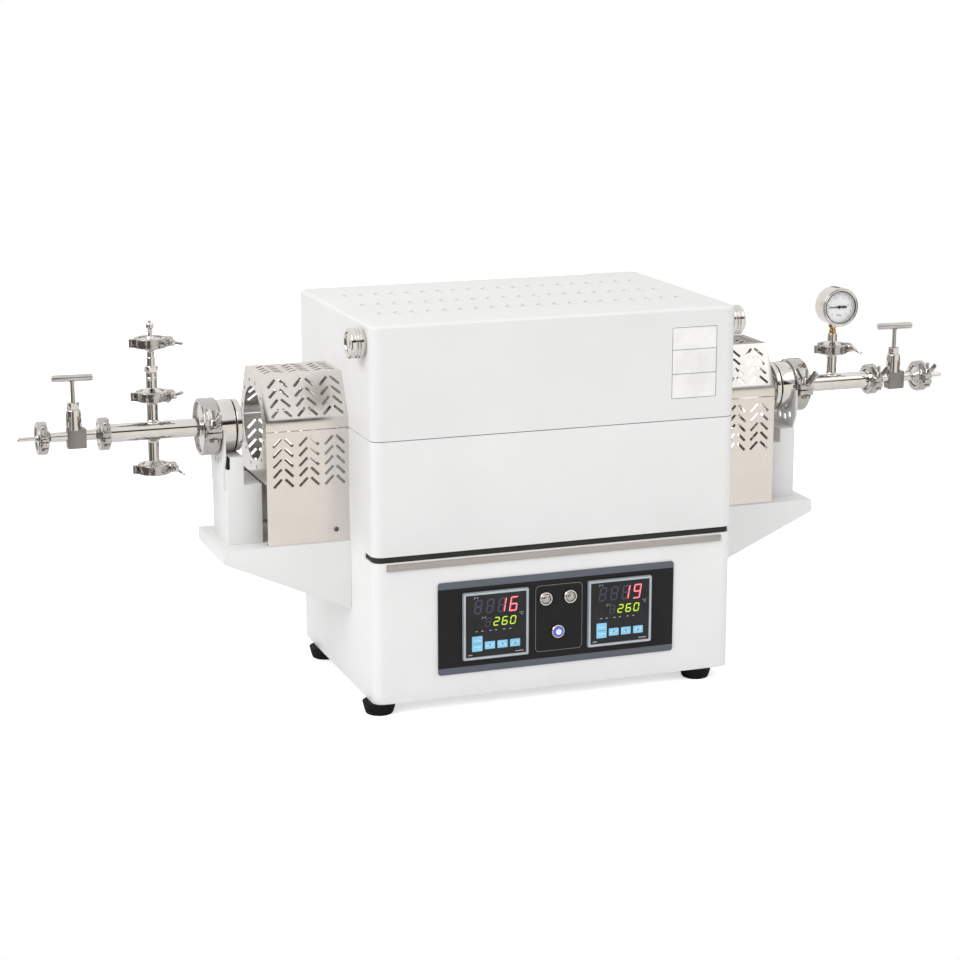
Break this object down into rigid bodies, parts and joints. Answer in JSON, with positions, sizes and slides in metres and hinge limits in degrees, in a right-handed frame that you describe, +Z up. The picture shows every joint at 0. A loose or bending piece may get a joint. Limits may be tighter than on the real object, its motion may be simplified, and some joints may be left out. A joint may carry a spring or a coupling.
{
  "type": "split tube furnace",
  "caption": "Bench-top split tube furnace with a hinged lid, perforated end guards, a quartz process tube in clamped end flanges, gas lines with needle valves and a gauge, and a control panel.",
  "frame": {"origin": "middle of the housing's footprint, on the bench under the feet", "axes": "+X along the process tube towards the gas outlet and the gauge, +Y to the back, +Z up"},
  "size_m": [1.4, 0.38, 0.537],
  "materials": {
    "body_paint": "satin white powder coat",
    "panel_dark": "satin dark printed panel",
    "stainless_brushed": "brushed stainless sheet",
    "stainless_polished": "polished stainless",
    "steel_plain": "plain machined steel",
    "aluminium_plain": "extruded aluminium",
    "brass_plain": "turned brass",
    "controller_plastic": "fine matt moulding",
    "relay_plastic": "moulded",
    "rubber_dark": "moulded rubber",
    "fibre_white": "pressed ceramic fibre",
    "board_dark": "dark heat-proof board",
    "heater_metal": "oxidised heating wire",
    "quartz": "clear fused quartz",
    "clear_glass": "clear glass",
    "dial_white": "printed enamel",
    "needle_black": "matt black",
    "silicone_red": "silicone"
  },
  "bodies": {
    "furnace": {"base_housing": "body_paint", "bottom_plate": "body_paint", "rubber_feet": "rubber_dark", "rear_cover": "body_paint", "cable_gland": "rubber_dark", "heat_sink": "aluminium_plain", "power_relays": "relay_plastic", "control_panel": "panel_dark", "temperature_controllers": "controller_plastic", "button_bushings": "stainless_brushed", "trim_strip": "stainless_brushed", "spacer_board": "board_dark", "lower_shell": "body_paint", "lower_insulation": "fibre_white", "lower_heater": "heater_metal", "thermocouples": "steel_plain", "base_hinge_leaves": "stainless_brushed", "hinge_pins": "steel_plain", "lower_guard_left": "stainless_brushed", "lower_guard_right": "stainless_brushed", "side_brackets": "body_paint", "flange_posts": "body_paint", "flange_saddles": "body_paint", "process_tube": "quartz", "compression_rings": "stainless_polished", "seal_rings": "silicone_red", "tube_flanges": "stainless_polished", "gas_cross": "stainless_polished", "gas_tee": "stainless_polished", "relief_valve": "stainless_polished", "feedthrough": "stainless_polished", "port_blank": "stainless_polished", "inlet_valve_body": "stainless_polished", "outlet_valve_body": "stainless_polished", "gas_inlet": "stainless_polished", "gas_outlet": "stainless_polished", "line_clamps": "stainless_polished", "line_clamp_screws": "stainless_polished", "flange_clamps": "stainless_polished", "flange_clamp_screws": "stainless_polished", "gauge_adapter": "brass_plain", "gauge_case": "stainless_polished", "gauge_dial": "dial_white", "gauge_glass": "clear_glass", "cover_screws": "steel_plain"},
    "lid": {"lid_shell": "body_paint", "lid_insulation": "fibre_white", "lid_heater": "heater_metal", "lid_hinge_leaves": "stainless_brushed", "lid_knobs": "stainless_polished", "upper_guard_left": "stainless_brushed", "upper_guard_right": "stainless_brushed"},
    "inlet_stem": {"inlet_stem": "steel_plain"},
    "outlet_stem": {"outlet_stem": "steel_plain"},
    "inlet_handle": {"inlet_handle": "stainless_brushed"},
    "outlet_handle": {"outlet_handle": "stainless_brushed"},
    "gauge_needle": {"gauge_needle": "needle_black"},
    "start_button": {"start_button": "stainless_polished"},
    "stop_button": {"stop_button": "stainless_polished"},
    "power_button": {"power_button": "stainless_polished"}
  },
  "joints": [
    {"name": "lid_hinge", "type": "hinge", "parent": "furnace", "child": "lid", "pos_m": [0, 0.184, 0.382], "axis": [-1, 0, 0], "range_deg": [0, 75]},
    {"name": "inlet_stem_lift", "type": "slide", "parent": "furnace", "child": "inlet_stem", "axis": [0, 0, 1], "range_m": [0, 0.003]},
    {"name": "inlet_handle_turn", "type": "hinge", "parent": "inlet_stem", "child": "inlet_handle", "pos_m": [-0.627, 0, 0.461], "axis": [0, 0, 1], "range_deg": [0, 1080]},
    {"name": "outlet_stem_lift", "type": "slide", "parent": "furnace", "child": "outlet_stem", "axis": [0, 0, 1], "range_m": [0, 0.003]},
    {"name": "outlet_handle_turn", "type": "hinge", "parent": "outlet_stem", "child": "outlet_handle", "pos_m": [0.615, 0, 0.461], "axis": [0, 0, 1], "range_deg": [0, 1080]},
    {"name": "gauge_needle_turn", "type": "hinge", "parent": "furnace", "child": "gauge_needle", "pos_m": [0.51, -0.0194, 0.498], "axis": [0, 1, 0], "range_deg": [-45, 225], "stiffness_Nm_per_rad": 0.0005},
    {"name": "start_button_press", "type": "slide", "parent": "furnace", "child": "start_button", "axis": [0, 1, 0], "range_m": [0, 0.002], "stiffness_N_per_m": 300},
    {"name": "stop_button_press", "type": "slide", "parent": "furnace", "child": "stop_button", "axis": [0, 1, 0], "range_m": [0, 0.002], "stiffness_N_per_m": 300},
    {"name": "power_button_press", "type": "slide", "parent": "furnace", "child": "power_button", "axis": [0, 1, 0], "range_m": [0, 0.002], "stiffness_N_per_m": 300}
  ],
  "couplings": [
    {"joint": "inlet_stem_lift", "follows": "inlet_handle_turn", "m_per_rad": 0.000159},
    {"joint": "outlet_stem_lift", "follows": "outlet_handle_turn", "m_per_rad": 0.000159}
  ]
}
